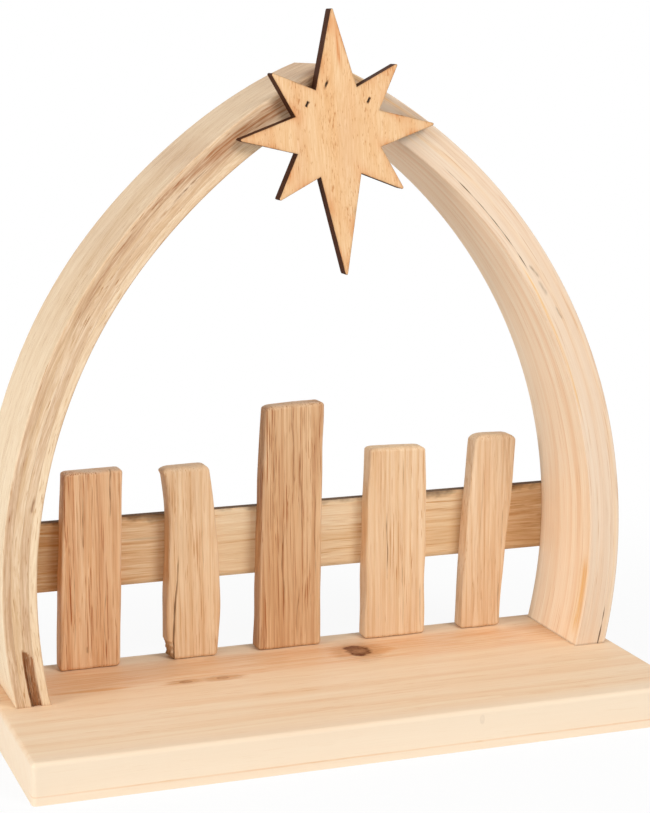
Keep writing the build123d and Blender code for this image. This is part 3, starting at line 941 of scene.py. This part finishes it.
# %% [markdown]
# ## Rail
# The rail is a strip of laser-cut plywood across the back. Its solid has the brad slots already, so it
# keeps its mesh too. The laser has burnt its edges and smoked the veneer below the top one. Towards both
# ends the veneer is painted browner, as painted shade of the staves and pickets.

# %% Rail
rail_low, rail_top = (corner.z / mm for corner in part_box("fence_rail"))
# Along X, in mm: where painted shade begins and is full on each side, and where the left end turns dark
painted_shade_left, painted_shade_right, dark_left = (-40, -88), (66, 120), (-104, -116)
vein_place, vein_half = (-70, 0, 74.7), (13, 0, 0.9)
# Smoke below the top edge: how far noise lifts it, and where it then begins and is full, in mm
smoke_lift, smoke_from, smoke_full = 14, rail_top + 4.4, rail_top + 8.2
scorch_height = 2


def paint_rail(tree, grain, facing):
    """Heart is painted shade that darkens both ends; stain is the burnt edges, smoke below the top one,
    scorch above the lower one, a vein and the dark left end; nothing is worn."""
    side = add(tree, "Math", {0: facing["Y"]}, operation="ABSOLUTE")[0]
    burnt = add(tree, "MapRange", (side, 0.3, 0.7, 0.85, 0))[0]
    spot = add(tree, "SeparateXYZ", {0: grain})
    smoke = patches(tree, grain, 16, 10, detail=3)
    smoke = add(tree, "Math", (smoke, smoke_lift, spot["Z"]), operation="MULTIPLY_ADD")[0]
    smoke = add(tree, "MapRange", (smoke, smoke_from, smoke_full, 0, 0.7))[0]
    scorch = add(tree, "MapRange", (spot["Z"], rail_low, rail_low + scorch_height, 0.3, 0))[0]
    vein = oval_at(tree, grain, vein_place, vein_half)
    vein = add(tree, "MapRange", (vein, 0.2, 1, 0.22, 0))[0]
    end = add(tree, "MapRange", (spot["X"], *dark_left, 0, 0.25))[0]
    # Painted shade: both ends of the rail are browned where the staves and pickets shade it
    right = add(tree, "MapRange", (spot["X"], *painted_shade_right, 0.1, 0.75))[0]
    left = add(tree, "MapRange", (spot["X"], *painted_shade_left, 0.1, 1.0))[0]
    return strongest(tree, [left, right]), strongest(tree, [burnt, smoke, scorch, vein, end]), 0.0


# Plywood cut by a laser: straw-coloured veneer with thin lines, and char where the beam passed
rail_ply = solid_wood(
    "laser_cut_rail_plywood", paint_rail,
    tints="#fdecce #f6deba #f4eadc #d4b088 #f2e6d6 #dec29f #ecd1a8 #4a2a17",
    ring=4, pith=(10, 20), sway=100, wander=6, fibre=(16, 0.45), check=(30, 0.45), bump=0.25)
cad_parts["fence_rail"].material_slots[0].material = rail_ply
print("the rail is", round(rail_top - rail_low, 1), "mm high and has its wood")

# %% [markdown]
# ## Steel
# Brads and screws are drawn wire, dark from the mill and not polished. They keep their solids, because only
# a few heads show, each at the bottom of a slot or a hole.

# %% Steel
# Drawn steel wire: a dull dark metal with lines along it, drawn 0.25 mm wide, coarser than they are, to show
wire, tree = empty_material("dark_drawn_steel_wire")
spot = add(tree, "Mapping", {"Vector": add(tree, "TexCoord")["Object"], "Scale": (4000, 4000, 600)})[0]
drawn_lines = add(tree, "TexNoise", {"Vector": spot, "Scale": 1, "Detail": 2})["Fac"]
tone = add(tree, "Mix", {0: drawn_lines, 6: linear("#2c221b"), 7: linear("#51443a")}, data_type="RGBA")[2]
rough = add(tree, "MapRange", (drawn_lines, 0.3, 0.7, 0.4, 0.6))[0]
steel = add(tree, "BsdfPrincipled", {"Base Color": tone, "Metallic": 1.0, "Roughness": rough})[0]
add(tree, "OutputMaterial", {"Surface": steel})
fasteners = ("star_brads", "rail_brads", "picket_brads", "foot_screws")
for name in fasteners:
    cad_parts[name].material_slots[0].material = wire
print("steel on", len(fasteners), "sets of fasteners")
